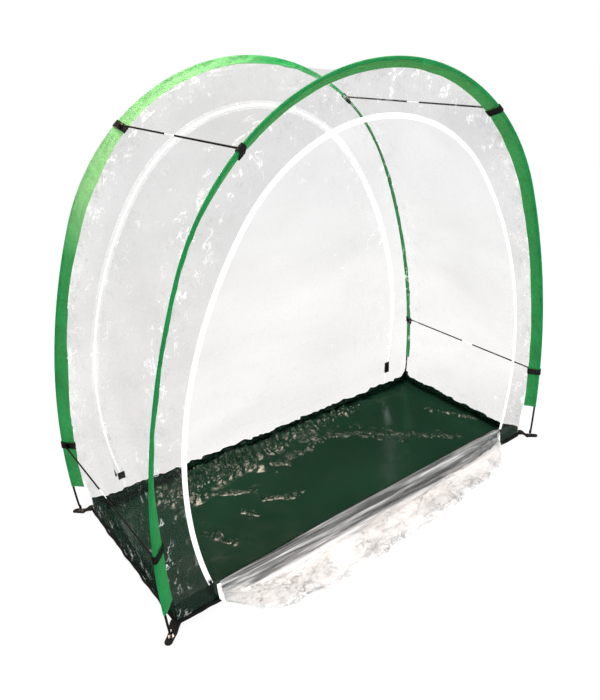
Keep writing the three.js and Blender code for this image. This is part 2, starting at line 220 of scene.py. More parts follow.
# ---------------------------------------------------------------- mesh helpers
def noise2(u, v, seed, scale):
    """Smooth seeded noise from -1 to 1 over two coordinates in metres, one lump per scale."""
    u = np.asarray(u, float) / scale + 100.0
    v = np.asarray(v, float) / scale + 100.0
    lattice = np.random.default_rng(seed).uniform(-1, 1, (256, 256))
    iu, iv = np.floor(u).astype(int), np.floor(v).astype(int)
    fu, fv = u - iu, v - iv
    fu, fv = fu * fu * (3 - 2 * fu), fv * fv * (3 - 2 * fv)
    a = lattice[iu % 256, iv % 256]
    b = lattice[(iu + 1) % 256, iv % 256]
    c = lattice[iu % 256, (iv + 1) % 256]
    d = lattice[(iu + 1) % 256, (iv + 1) % 256]
    return (a * (1 - fu) + b * fu) * (1 - fv) + (c * (1 - fu) + d * fu) * fv


def creases(u, v, seed, scale):
    """Sharp-ridged folds from 0 to 1, as in crumpled film: narrow ridges between flat facets."""
    total = 0
    weight = 1.0
    for octave in range(3):
        turn = 0.7 + 1.9 * octave
        a = u * math.cos(turn) - v * math.sin(turn)
        b = u * math.sin(turn) + v * math.cos(turn)
        total = total + weight * (1 - np.abs(noise2(a, b * 0.6, seed + octave, scale))) ** 3
        weight *= 0.55
        scale *= 0.5
    return total / 1.85


def make_object(name, points, faces, smooth=True):
    mesh = bpy.data.meshes.new(name)
    mesh.from_pydata([tuple(p) for p in points], [], faces)
    mesh.validate()
    mesh.update()
    if smooth:
        mesh.polygons.foreach_set("use_smooth", [True] * len(mesh.polygons))
    piece = bpy.data.objects.new(name, mesh)
    bpy.context.scene.collection.objects.link(piece)
    return piece


def grid(name, points, wrap_rows=False, wrap_columns=False, keep=None):
    """A surface through a (rows, columns, 3) array of points."""
    rows, columns, _ = points.shape
    faces = []
    for i in range(rows if wrap_rows else rows - 1):
        for j in range(columns if wrap_columns else columns - 1):
            if keep is not None and not keep[i, j]:
                continue
            k, m = (i + 1) % rows, (j + 1) % columns
            faces.append((i * columns + j, i * columns + m, k * columns + m, k * columns + j))
    return make_object(name, points.reshape(-1, 3), faces)


def merge_close(piece, distance=1e-5):
    mesh = bmesh.new()
    mesh.from_mesh(piece.data)
    bmesh.ops.remove_doubles(mesh, verts=mesh.verts, dist=distance)
    loose = [v for v in mesh.verts if not v.link_faces]
    bmesh.ops.delete(mesh, geom=loose, context="VERTS")
    mesh.to_mesh(piece.data)
    mesh.free()


def tube(name, line, radius, sides=10):
    """A closed round tube along an (n, 3) line."""
    line = np.asarray(line, float)
    along = np.gradient(line, axis=0)
    along /= np.linalg.norm(along, axis=1, keepdims=True)
    side = np.cross(along[0], (0.0, 0.0, 1.0))
    if np.linalg.norm(side) < 0.3:
        side = np.cross(along[0], (0.0, 1.0, 0.0))
    sides_at = []
    for direction in along:
        side = side - direction * side.dot(direction)
        side /= np.linalg.norm(side)
        sides_at.append(side)
    a = np.array(sides_at)
    b = np.cross(along, a)
    turn = np.linspace(0, 2 * math.pi, sides, endpoint=False)
    ring = np.cos(turn)[None, :, None] * a[:, None] + np.sin(turn)[None, :, None] * b[:, None]
    points = line[:, None] + np.broadcast_to(radius, len(line))[:, None, None] * ring
    piece = grid(name, points, wrap_columns=True)
    add_caps(piece, len(line), sides, smooth=True)
    return piece


def band(name, line, across, width, thickness):
    """A flat strap of the given width and thickness along a line, across giving its width's way."""
    line = np.asarray(line, float)
    across = np.asarray(across, float)
    across = across / np.linalg.norm(across, axis=1, keepdims=True)
    along = np.gradient(line, axis=0)
    normal = np.cross(along, across)
    normal /= np.linalg.norm(normal, axis=1, keepdims=True)
    half, up = width / 2, thickness / 2
    corners = [(-half, -up), (0, -up), (half, -up), (half, up), (0, up), (-half, up)]
    points = np.stack([line + a * across + b * normal for a, b in corners], axis=1)
    piece = grid(name, points, wrap_columns=True)
    add_caps(piece, len(line), len(corners), smooth=False)
    return piece


def add_caps(piece, rows, columns, smooth):
    """Closes both open ends of a grid that wraps round."""
    mesh = piece.data
    faces = [tuple(p.vertices) for p in mesh.polygons]
    faces.append(tuple(range(columns))[::-1])
    faces.append(tuple((rows - 1) * columns + i for i in range(columns)))
    vertices = [tuple(v.co) for v in mesh.vertices]
    mesh.clear_geometry()
    mesh.from_pydata(vertices, [], faces)
    mesh.polygons.foreach_set("use_smooth", [smooth] * len(mesh.polygons))


# ---------------------------------------------------------------- materials
def grey(value):
    return (value, value, value)


class Nodes:
    """A small builder for one material's nodes."""

    def __init__(self, name):
        self.material = bpy.data.materials.new(name)
        self.material.use_nodes = True
        self.tree = self.material.node_tree
        self.shader = self.tree.nodes["Principled BSDF"]
        self.output = self.tree.nodes["Material Output"]
        coordinates = self.add("ShaderNodeTexCoord")
        self.place = coordinates.outputs["Object"]

    def add(self, kind, **values):
        node = self.tree.nodes.new(kind)
        for key, value in values.items():
            setattr(node, key, value)
        return node

    def link(self, a, b):
        self.tree.links.new(a, b)

    def scaled(self, scale):
        mapping = self.add("ShaderNodeMapping")
        mapping.inputs["Scale"].default_value = scale
        self.link(self.place, mapping.inputs["Vector"])
        return mapping.outputs["Vector"]

    def noise(self, scale, detail=4.0, roughness=0.6, distortion=0.0, vector=None):
        node = self.add("ShaderNodeTexNoise")
        self.link(vector or self.place, node.inputs["Vector"])
        node.inputs["Scale"].default_value = scale
        node.inputs["Detail"].default_value = detail
        node.inputs["Roughness"].default_value = roughness
        node.inputs["Distortion"].default_value = distortion
        return node.outputs["Fac"]

    def ramp(self, source, stops):
        node = self.add("ShaderNodeValToRGB")
        self.link(source, node.inputs["Fac"])
        ramp = node.color_ramp
        while len(ramp.elements) < len(stops):
            ramp.elements.new(0.5)
        for element, (position, colour) in zip(ramp.elements, stops):
            element.position = position
            element.color = (*colour, 1) if len(colour) == 3 else colour
        return node.outputs["Color"]

    def math(self, operation, a, b):
        node = self.add("ShaderNodeMath", operation=operation)
        for socket, value in zip(node.inputs, (a, b)):
            if isinstance(value, (int, float)):
                socket.default_value = value
            else:
                self.link(value, socket)
        return node.outputs["Value"]

    def plus(self, a, b):
        return self.math("ADD", a, b)

    def minus(self, a, b):
        return self.math("SUBTRACT", a, b)

    def times(self, a, b):
        return self.math("MULTIPLY", a, b)

    def most(self, a, b):
        return self.math("MAXIMUM", a, b)

    def off_middle(self, source):
        """How far noise is from its middle."""
        return self.math("ABSOLUTE", self.minus(source, 0.5), 0.0)

    def clamped(self, value):
        """Holds a maths node's result between 0 and 1."""
        value.node.use_clamp = True
        return value

    def ridge(self, source, sharpness):
        """Turns noise into thin bright lines where it crosses its middle."""
        spread = self.times(self.off_middle(source), sharpness)
        return self.clamped(self.minus(1.0, spread))

    def bump(self, height, distance, strength=1.0, normal=None):
        node = self.add("ShaderNodeBump")
        self.link(height, node.inputs["Height"])
        node.inputs["Distance"].default_value = distance
        node.inputs["Strength"].default_value = strength
        if normal is not None:
            self.link(normal, node.inputs["Normal"])
        return node.outputs["Normal"]

    def rough(self, source, low, high):
        """Roughness that varies with noise, from low to high."""
        self.to(self.ramp(source, [(0.3, grey(low)), (0.7, grey(high))]), "Roughness")

    def set(self, **values):
        for key, value in values.items():
            self.shader.inputs[key.replace("_", " ")].default_value = value

    def to(self, source, name):
        self.link(source, self.shader.inputs[name])


def film_material(name, haze, tint, glint_strength, seed_shift):
    """Clear film: see-through, greyed and cloudy, with painted highlights as small curved white
    lines that glow, and painted shade as small curved dark lines.
    """
    m = Nodes(name)
    vector = m.scaled((1.0 + seed_shift, 1.0 - 0.2 * seed_shift, 1.0 - 0.3 * seed_shift))
    broad = m.noise(3.2, 2.5, 0.5, 0.3, m.scaled((0.6, 1.0, 1.5)))
    curl = m.noise(15.0, 3.0, 0.5, 1.1, vector)
    fine = m.noise(34.0, 3.0, 0.5, 0.9, vector)
    sweep = m.noise(7.0, 2.0, 0.45, 0.5, m.scaled((0.45, 1.0, 1.7)))
    where = m.noise(24.0, 2.0, 0.5, 0.0, vector)
    gather = m.add("ShaderNodeAttribute", attribute_name="gather").outputs["Fac"]
    density = m.plus(m.times(m.math("POWER", gather, 1.6), 0.93), 0.07)
    short = m.clamped(m.times(m.minus(where, 0.54), 12.0))
    other = m.clamped(m.times(m.minus(0.47, where), 12.0))
    # painted highlights: thin white curved lines, densest where the piece is marked gather
    lines = m.most(m.ridge(curl, 44.0), m.times(m.ridge(fine, 26.0), 0.8))
    glints = m.times(m.times(m.times(lines, short), density), glint_strength)
    soft = m.times(m.times(m.ridge(sweep, 26.0), short), 0.05)
    glints = m.plus(glints, soft)
    # painted shade: thin dark curved lines, also densest where the piece is marked gather
    shade = m.most(m.ridge(fine, 20.0), m.times(m.ridge(curl, 30.0), 0.8))
    shade = m.times(m.times(shade, other), m.times(density, 0.20))
    cloud = m.times(m.clamped(m.plus(broad, 0.0)), haze)
    alpha = m.plus(m.plus(cloud, shade), glints)
    m.to(m.clamped(alpha), "Alpha")
    # the painted highlights are near white and glow; elsewhere the film keeps its own grey
    m.to(m.ramp(glints, [(0.02, grey(tint)), (0.16, grey(0.97))]), "Base Color")
    m.to(m.times(glints, 0.9), "Emission Strength")
    m.rough(broad, 0.10, 0.26)
    m.to(m.bump(fine, 0.0010, 0.7, m.bump(curl, 0.003)), "Normal")
    m.set(Specular_IOR_Level=0.3)
    return m.material


def heap_material():
    """The same film in many loose layers: white with a faint painted glow, painted grey shade
    lines on its folds, and clear patches.
    """
    m = Nodes("film_heap")
    vector = m.scaled((0.75, 1.15, 1.0))
    curl = m.noise(16.0, 3.0, 0.5, 1.0, vector)
    fine = m.noise(50.0, 3.0, 0.5, 0.7, vector)
    where = m.noise(11.0, 3.0, 0.55, 0.0, vector)
    lines = m.most(m.ridge(curl, 40.0), m.times(m.ridge(fine, 22.0), 0.8))
    lines = m.times(lines, m.clamped(m.times(m.minus(where, 0.36), 5.0)))
    m.to(m.clamped(m.plus(m.times(lines, 0.34), 0.17)), "Alpha")
    # painted shade: the fold lines turn grey to dark grey
    m.to(m.ramp(lines, [(0.10, grey(0.96)), (0.45, grey(0.46)), (0.9, grey(0.22))]), "Base Color")
    # painted glow: the heap gives off a little light of its own
    m.set(Emission_Strength=0.08)
    m.rough(curl, 0.12, 0.30)
    m.to(m.bump(fine, 0.0015, 0.8, m.bump(curl, 0.004)), "Normal")
    return m.material


def sill_material():
    """Film pulled over the sill: streaked lengthwise, painted dark grey for shade between
    painted highlight lines that glow.
    """
    m = Nodes("film_sill")
    turned = m.add("ShaderNodeMapping")
    turned.inputs["Rotation"].default_value = (0.0, 0.05, 0.0)
    turned.inputs["Scale"].default_value = (1.1, 30.0, 38.0)
    m.link(m.place, turned.inputs["Vector"])
    streak = m.noise(1.0, 6.0, 0.64, 0.3, turned.outputs["Vector"])
    fine = m.noise(3.1, 5.0, 0.62, 0.3, turned.outputs["Vector"])
    both = m.plus(m.times(streak, 0.62), m.times(fine, 0.38))
    parts = m.add("ShaderNodeSeparateXYZ")
    m.link(m.place, parts.inputs["Vector"])
    # darker towards the right
    right = m.clamped(m.plus(m.times(parts.outputs["X"], 0.9), 0.5))
    both = m.minus(both, m.times(right, 0.045))
    # painted shade and highlight: dark grey film with near white streaks
    m.to(m.ramp(both, [(0.36, grey(0.07)), (0.47, grey(0.20)), (0.54, grey(0.44)),
                       (0.60, grey(0.95))]), "Base Color")
    m.to(m.ramp(both, [(0.35, grey(0.50)), (0.60, grey(0.80))]), "Alpha")
    # painted highlights: the brightest streaks glow
    m.to(m.times(m.clamped(m.minus(both, 0.57)), 2.2), "Emission Strength")
    m.rough(streak, 0.12, 0.30)
    m.to(m.bump(both, 0.003), "Normal")
    return m.material


def sheet_material():
    """Shiny dark green sheet: finely crinkled, and sharply crumpled where it is marked so."""
    m = Nodes("green_sheet")
    broad = m.noise(2.2, 3.0, 0.55, 0.4)
    fold = m.noise(10.0, 4.0, 0.55, 0.3)
    fine = m.noise(80.0, 5.0, 0.62, 0.3)
    crumple = m.add("ShaderNodeAttribute", attribute_name="crumple").outputs["Fac"]
    ribs = m.noise(60.0, 3.0, 0.5, 0.4, m.scaled((1.0, 0.5, 0.8)))
    small = m.noise(130.0, 3.0, 0.5, 0.3)
    sharp = m.plus(m.off_middle(ribs), m.times(m.off_middle(small), 0.4))
    m.to(m.ramp(broad, [(0.3, (0.006, 0.024, 0.013)), (0.7, (0.009, 0.036, 0.020))]), "Base Color")
    m.rough(fold, 0.12, 0.24)
    normal = m.bump(fine, 0.00015, 0.7, m.bump(fold, 0.0022))
    folded = m.bump(sharp, 0.009, 1.0, normal)
    m.link(crumple, folded.node.inputs["Strength"])
    m.to(folded, "Normal")
    m.set(Specular_IOR_Level=0.5)
    return m.material


def woven(name, dark, light, roughness, threads, depth, own_light=0.0, glow=0.0,
          glow_colour=None, crease=0.0):
    """Plain weave. threads is per metre, own_light is emission, a painted glow, and glow is the
    share of light that comes through. A creased weave turns pale lime, a painted backlight,
    where the piece is marked "pale"."""
    m = Nodes(name)
    height = None
    for axis in ("X", "Y", "Z"):
        wave = m.add("ShaderNodeTexWave", bands_direction=axis)
        m.link(m.place, wave.inputs["Vector"])
        wave.inputs["Scale"].default_value = threads / 6.28
        wave.inputs["Distortion"].default_value = 0.6
        wave.inputs["Detail"].default_value = 1.0
        fac = wave.outputs["Fac"]
        height = fac if height is None else m.plus(height, fac)
    tone = m.noise(14.0, 4.0, 0.6)
    colour = m.ramp(tone, [(0.3, dark), (0.7, light)])
    # painted backlight: pale lime mixed into the colour where the piece is marked
    if crease:
        pale = m.add("ShaderNodeMix", data_type="RGBA")
        mark = m.add("ShaderNodeAttribute", attribute_name="pale")
        m.link(mark.outputs["Fac"], pale.inputs["Factor"])
        m.link(colour, pale.inputs[6])
        pale.inputs[7].default_value = (0.37, 0.80, 0.34, 1)
        colour = pale.outputs[2]
    m.to(colour, "Base Color")
    m.rough(tone, roughness - 0.08, roughness)
    normal = m.bump(m.noise(55.0, 4.0, 0.55, 0.6), crease) if crease else None
    m.to(m.bump(height, depth, 1.0, normal), "Normal")
    # emission here is a painted glow on a piece that is no lamp
    m.set(Specular_IOR_Level=0.25, Emission_Strength=own_light)
    if glow:
        through = m.add("ShaderNodeBsdfTranslucent")
        through.inputs["Color"].default_value = (*glow_colour, 1)
        mix = m.add("ShaderNodeMixShader")
        mix.inputs["Fac"].default_value = glow
        m.link(m.shader.outputs["BSDF"], mix.inputs[1])
        m.link(through.outputs["BSDF"], mix.inputs[2])
        m.link(mix.outputs["Shader"], m.output.inputs["Surface"])
    return m.material


def rod_material():
    """Black fibreglass with faint lengthwise fibres."""
    m = Nodes("fibreglass")
    fibres = m.noise(30.0, 3.0, 0.6, 0.0, m.scaled((40.0, 40.0, 1.5)))
    m.to(m.ramp(fibres, [(0.3, grey(0.008)), (0.7, grey(0.022))]), "Base Color")
    m.rough(fibres, 0.30, 0.45)
    m.to(m.bump(fibres, 0.0002), "Normal")
    return m.material


def metal(name, dark, light, roughness):
    m = Nodes(name)
    wear = m.noise(120.0, 5.0, 0.65)
    m.to(m.ramp(wear, [(0.35, dark), (0.65, light)]), "Base Color")
    m.rough(wear, roughness, roughness + 0.18)
    m.to(m.bump(wear, 0.0002), "Normal")
    m.set(Metallic=1.0)
    return m.material


def make_materials():
    return {
        "skin": film_material("film_skin", 0.28, 0.10, 0.80, 0.0),
        "panel": film_material("film_panel", 0.27, 0.10, 0.75, 0.21),
        "heap": heap_material(),
        "sill": sill_material(),
        "sheet": sheet_material(),
        # the green fabric's crease also turns on its painted backlight, pale lime where marked
        "green": woven("green_fabric", (0.002, 0.330, 0.076), (0.005, 0.440, 0.104),
                       0.62, 1100.0, 0.0004, glow=0.17, glow_colour=(0.82, 0.98, 0.62),
                       crease=0.009),
        # the pale link and thread glow with painted light (own_light 0.5)
        "link": woven("pale_glowing_thread", grey(0.62), grey(0.80), 0.6, 900.0, 0.0003, own_light=0.5),
        "webbing": woven("black_webbing", grey(0.008), grey(0.020), 0.82, 650.0, 0.0006),
        "cord": woven("black_cord", grey(0.007), grey(0.018), 0.80, 900.0, 0.0005),
        # the white tape glows with painted light (own_light 0.5)
        "tape": woven("white_tape", grey(0.80), grey(0.92), 0.78, 900.0, 0.0003, own_light=0.5),
        "rod": rod_material(),
        "steel": metal("plated_steel", grey(0.42), grey(0.62), 0.26),
        "brass": metal("antique_brass", (0.13, 0.075, 0.03), (0.34, 0.22, 0.10), 0.32),
    }


# ---------------------------------------------------------------- dressing pieces
def dress(piece, material, body, node=None):
    piece.data.materials.clear()
    piece.data.materials.append(material)
    if node:
        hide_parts(node)
    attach(piece, body)
    return piece


def follow_slide(piece):
    """Gives the piece its own copy of its mesh."""
    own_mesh(piece)


# ---------------------------------------------------------------- cords
LINK_LENGTH = 0.052


def make_cords(mats):
    """Each cord is black with a thin pale link at its middle."""
    for side_name, side in SIDES:
        for level, z in LOOP_HEIGHTS.items():
            x, _, _ = HOOP.point(z, side)
            half = LINK_LENGTH / 2
            far = np.linspace(CORD_END_Y, half, 24)
            y = np.concatenate([far, np.linspace(half - 0.0004, 0.0004 - half, 8), -far[::-1]])
            line = np.stack([np.full_like(y, x), y, np.full_like(y, z)], axis=1)
            thick = np.where(np.abs(y) < half - 0.0002, 0.0009, CORD_RADIUS)
            piece = tube(f"elastic_{level}_{side_name}", line, thick)
            dress(piece, mats["cord"], "base", f"cross_cord_{level}_{side_name}")
            # the link's material glows: painted light
            piece.data.materials.append(mats["link"])
            for face in piece.data.polygons:
                face.material_index = int(abs(face.center.y) < half)
            follow_slide(piece)


# ---------------------------------------------------------------- film
def paint(piece, name, values):
    """Marks each point from 0 to 1, for the material to do more there: more crumple bump, more
    painted highlight and shade lines, or more of the painted backlit tint.
    """
    layer = piece.data.attributes.new(name, "FLOAT", "POINT")
    layer.data.foreach_set("value", np.clip(values, 0, 1).ravel().astype(np.float32))


def with_skirt(points, drop_to, count, out_y=None):
    """Carries the first and last rows of a sheet of points straight down to drop_to."""
    steps = np.linspace(0, 1, count + 1)[1:]
    ends = []
    for row in (points[0], points[-1]):
        rows = []
        for t in steps:
            new = row.copy()
            new[:, 2] = row[:, 2] + (drop_to - row[:, 2]) * t
            if out_y is not None:
                new[:, 1] = out_y
            rows.append(new)
        ends.append(np.array(rows))
    return np.concatenate([ends[0][::-1], points, ends[1]], axis=0)


def make_roof_film(mats):
    rows, columns = 330, 84
    x, z, nx, nz = HOOP.stations(FILM_BASE, rows)
    length = HOOP.length(FILM_BASE)
    s = np.linspace(0, length, rows)[:, None]
    share = s / length
    y = np.linspace(-FILM_Y, FILM_Y, columns)[None, :]
    to_rear = (y + FILM_Y) / (2 * FILM_Y)
    depth = seam_depth("front", share) * (1 - to_rear) + seam_depth("rear", share) * to_rear
    span = 1 - (y / FILM_Y) ** 2
    ends = np.sin(np.pi * np.linspace(0, 1, rows))[:, None] ** 0.4
    near = np.exp(-(FILM_Y - np.abs(y)) / 0.055) * (1 - np.exp(-(FILM_Y - np.abs(y)) / 0.006))
    pull = noise2(s, y * 0.25 + np.sign(y), 13, 0.016) + 0.6 * noise2(s, y * 0.2, 14, 0.034)
    u = -depth - 0.009 * span * ends
    u = u + 0.0040 * creases(s, y, 11, 0.17) * span * ends + 0.004 * noise2(s, y, 17, 0.25) * span
    u = u + 0.0042 * pull * near * ends
    px, pz = x[:, None] + u * nx[:, None], z[:, None] + u * nz[:, None]
    foot = np.clip((STRAIGHTEN_Z - z[:, None]) / (STRAIGHTEN_Z - FILM_BASE), 0, 1)
    px = px * (1 - foot) + np.sign(px) * (FLOOR_HALF_X + 0.0026) * foot
    pz = pz * (1 - foot) + z[:, None] * foot
    points = np.stack([px, y + 0 * s, pz], axis=2)
    points = with_skirt(points, SKIRT_BASE, 9)
    piece = grid("roof_skin", points)
    pad = np.zeros((9, columns))
    # gather: more painted highlight and shade lines near the seams and towards the ends
    gather = np.exp(-(FILM_Y - np.abs(y)) / 0.09) + 0 * s
    gather = np.maximum(gather, 0.45 * np.clip(np.abs(s - length / 2) / (length / 2) - 0.6, 0, 1))
    paint(piece, "gather", np.concatenate([pad + 0.5, gather, pad + 0.5]))
    dress(piece, mats["skin"], "base", "roof_film")
    follow_slide(piece)


def wall_points(end, inward, rows, columns, seed):
    """The end wall round a doorway, from the zip's line out to the seam, and down to the foot."""
    zx, zz, znx, znz = ZIP.stations(FILM_BASE, rows)
    hx, hz, hnx, hnz = HOOP.stations(FILM_BASE, rows)
    depth = seam_depth(end, np.linspace(0, 1, rows))
    inner = np.stack([zx + ZIP_SEAM * znx, zz + ZIP_SEAM * znz], axis=1)
    outer = np.stack([hx - depth * hnx, hz - depth * hnz], axis=1)
    foot = np.clip((STRAIGHTEN_Z - hz) / (STRAIGHTEN_Z - FILM_BASE), 0, 1)
    outer[:, 0] += (np.sign(hx) * FLOOR_HALF_X - outer[:, 0]) * foot
    outer[:, 1] += (hz - outer[:, 1]) * foot
    t = np.linspace(0, 1, columns)[None, :, None]
    flat = inner[:, None] * (1 - t) + outer[:, None] * t
    px, pz = flat[..., 0], flat[..., 1]
    walk = np.linspace(0, HOOP.length(FILM_BASE), rows)[:, None]
    edge = np.sin(np.pi * t[..., 0]) ** 1.2
    wave = 0.006 * (creases(px, pz, seed, 0.15) - 0.4) + 0.004 * noise2(px, pz, seed + 5, 0.2)
    wave = wave + 0.0035 * noise2(walk, t[..., 0] * 0.02, seed + 9, 0.018) * t[..., 0] ** 2
    above = np.clip((pz - FILM_BASE) / 0.05, 0, 1)
    y = FILM_Y + 0.0022 - (0.0034 + 0.004 * edge - wave * edge) * above
    points = np.stack([px, -inward * y, pz], axis=2)
    return with_skirt(points, SKIRT_BASE, 8, out_y=-inward * (FILM_Y + SKIRT_OUT))


def make_panels(mats):
    for end, inward, body in ENDS:
        points = wall_points(end, inward, 330, 22, 23 + inward)
        piece = grid(f"{end}_wall", points)
        across = np.linspace(0, 1, points.shape[1])[None, :] ** 2
        # gather: more painted highlight and shade lines towards the seam
        paint(piece, "gather", 0.25 + 0.75 * across + 0 * points[..., 0])
        dress(piece, mats["panel"], body, f"{end}_panel")


def door_cut():
    """Width, height and area of a door's flat film: the outline that its zip follows."""
    x, z, _, _ = ZIP.stations(FILM_BASE, 601)
    area = abs(float(np.sum((x[1:] + x[:-1]) / 2 * np.diff(z))))
    return float(x.max() - x.min()), float(z.max() - z.min()), area


def make_rear_door(mats):
    half, columns = 120, 90
    x, z, nx, nz = ZIP.stations(FILM_BASE, 2 * half + 1)
    left = np.stack([x - ZIP_SEAM * nx, z - ZIP_SEAM * nz], axis=1)[: half + 1]
    right = left * (-1, 1)
    t = np.linspace(0, 1, columns)[None, :, None]
    flat = left[:, None] * (1 - t) + right[:, None] * t
    px, pz = flat[..., 0], flat[..., 1]
    edge = np.sin(np.pi * t[..., 0]) ** 0.5
    wave = 0.007 * (creases(px, pz, 41, 0.19) - 0.4) + 0.006 * noise2(px, pz, 47, 0.3)
    low = np.clip((pz - FILM_BASE) / 0.08, 0, 1)
    y = FILM_Y - 0.0015 - np.abs(wave) * edge * low
    piece = grid("rear_door_film", np.stack([px, y, pz], axis=2))
    # gather: more painted highlight and shade lines towards the zip
    paint(piece, "gather", 0.15 + 0.4 * (1 - edge) + 0 * px)
    merge_close(piece)
    dress(piece, mats["panel"], "rear_door", "rear_door")

    px = np.linspace(left[0, 0], right[0, 0], 120)[:, None]
    pz = np.linspace(SKIRT_BASE, FILM_BASE - 0.0015, 10)[None, :]
    y = FILM_Y + SKIRT_OUT + 0.0010 * noise2(px + 0 * pz, pz + 0 * px, 49, 0.04)
    sill = grid("rear_sill_film", np.stack([px + 0 * pz, y, pz + 0 * px], axis=2))
    # gather: painted highlight and shade lines at a fixed density
    paint(sill, "gather", 0.3 + 0 * y)
    dress(sill, mats["panel"], "base")


# ---------------------------------------------------------------- zips
def zip_strip(name, u_low, u_high, y, thickness, start_z=0.076, rows=220):
    x, z, nx, nz = ZIP.stations(start_z, rows)
    middle = (u_low + u_high) / 2
    line = np.stack([x + middle * nx, np.full(rows, y), z + middle * nz], axis=1)
    across = np.stack([nx, np.zeros(rows), nz], axis=1)
    return band(name, line, across, u_high - u_low, thickness)


def zip_coil(name, offset, y, start_z=0.078):
    rows = 420
    x, z, nx, nz = ZIP.stations(start_z, rows)
    line = np.stack([x + offset * nx, np.full(rows, y), z + offset * nz], axis=1)
    piece = tube(name, line, COIL_RADIUS, COIL_SIDES)
    for i, vertex in enumerate(piece.data.vertices):
        station = i // COIL_SIDES
        if station % 2:
            centre = Vector(line[station])
            vertex.co = centre + (vertex.co - centre) * 0.72
    return piece


def make_zips(mats):
    tape = mats["tape"]
    inner, outer = 0.001, {"front": 0.0135, "rear": 0.0125}
    for end, inward, body in ENDS:
        strip = zip_strip(f"{end}_tape", inner, outer[end], -inward * ZIP_Y, TAPE_THICKNESS)
        dress(strip, tape, body, f"{end}_zip_tape")
        dress(zip_coil(f"{end}_coil", 0.0012, -inward * COIL_Y), tape, body)
    door = zip_strip("rear_door_tape", -outer["rear"], -inner, ZIP_Y, TAPE_THICKNESS)
    dress(door, tape, "rear_door", "rear_door_zip_tape")
    dress(zip_coil("rear_door_coil", -0.0022, COIL_Y), tape, "rear_door")


# ---------------------------------------------------------------- hoops
SLEEVE_ENDS = {"front": (0.088, 0.125), "rear": (0.108, 0.100)}
POCKET = 0.0046


def pocket_profile(length, legs):
    """Along and across places of a strip folded round the rod, its edges meeting at the seam."""
    open_angle = 0.42 * math.pi
    start_along = POCKET * math.cos(open_angle)
    start_across = POCKET * math.sin(open_angle)
    leg = np.linspace(0, 1, legs)[:-1]
    down = [(length + (start_along - length) * t, 0.0006 + (start_across - 0.0006) * t**2)
            for t in leg]
    turn = np.linspace(open_angle, 2 * math.pi - open_angle, 9)
    bend = [(POCKET * math.cos(a), POCKET * math.sin(a)) for a in turn]
    return down + bend + [(along, -across) for along, across in down[::-1]]


def make_sleeve(mats, end, inward, body):
    """One strip folded round the rod, its two edges sewn together at the film's seam."""
    rows = 560
    low, high = SLEEVE_ENDS[end]
    x, z, nx, nz = HOOP.stations(low, rows, high)
    s = np.linspace(0, HOOP.length(low), rows)
    depth = seam_depth(end, s / s[-1])
    lengths = np.hypot(depth, FIN_Y)
    du, dv = -depth / lengths, inward * FIN_Y / lengths
    gather = np.zeros(rows)
    for height in LOOP_HEIGHTS.values():
        for side in (-1, 1):
            px, _, _ = HOOP.point(height, side)
            gather += np.exp(-(((x - px) ** 2 + (z - height) ** 2) / 0.026**2))
    gather = np.clip(gather, 0, 1)
    profiles = np.array([pocket_profile(length, 9) for length in lengths])
    along, across = profiles[..., 0], profiles[..., 1]
    share = np.clip(along / lengths[:, None], 0, 1)
    loose = 4 * share * (1 - share)
    slant = s[:, None] + 0.9 * along
    billow = 0.0050 * noise2(slant, along, 61 + inward, 0.050)
    pucker = 0.0026 * noise2(slant, along * 0.3, 67 + inward, 0.016)
    shift = (billow + pucker) * np.clip(loose, 0, 1) * (1 - 0.85 * gather[:, None])
    across = across + shift
    u = along * du[:, None] + across * (inward * dv[:, None])
    v = along * dv[:, None] - across * (inward * du[:, None])
    out = np.stack([x[:, None] + u * nx[:, None], -inward * HOOP_Y + v,
                    z[:, None] + u * nz[:, None]], axis=2)
    piece = grid(f"{end}_sleeve_fabric", out)
    # painted backlight: the rear sleeve's upper left part is marked to turn pale lime, as if lit
    # through from behind
    if end == "rear":
        part = s[:, None] / s[-1] + 0 * share
        glow = np.interp(part, (0.235, 0.285, 0.33, 0.37, 0.47, 0.53), (0, 0.75, 1, 0.8, 0.55, 0))
        paint(piece, "pale", glow * (0.85 + 0.25 * noise2(part * 3, share, 63, 0.06)))
    dress(piece, mats["green"], body, f"{end}_sleeve")


def hoop_frame(end, inward, z, side):
    """The rod's point at a height, the hoop's direction there, and the fin's direction."""
    x, nx, nz = HOOP.point(z, side)
    start, side_length, crown = HOOP.half(0.1)
    tangent_z = HOOP.side_z + HOOP.side_radius * math.sin(HOOP.tangent)
    if z < tangent_z:
        walk = HOOP.side_radius * (math.asin((z - HOOP.side_z) / HOOP.side_radius) - start)
    else:
        angle = math.asin((z - HOOP.crown_z) / HOOP.crown_radius)
        walk = side_length + HOOP.crown_radius * (angle - HOOP.tangent)
    share = walk / (2 * (side_length + crown))
    depth = float(seam_depth(end, share if side < 0 else 1 - share))
    centre = Vector((x, -inward * HOOP_Y, z))
    outward = Vector((nx, 0, nz))
    run = Vector((-nz * side, 0, nx * side)) * -side
    fin = (-depth * outward + inward * FIN_Y * Vector((0, 1, 0))).normalized()
    return centre, run.normalized(), fin, math.hypot(depth, FIN_Y)


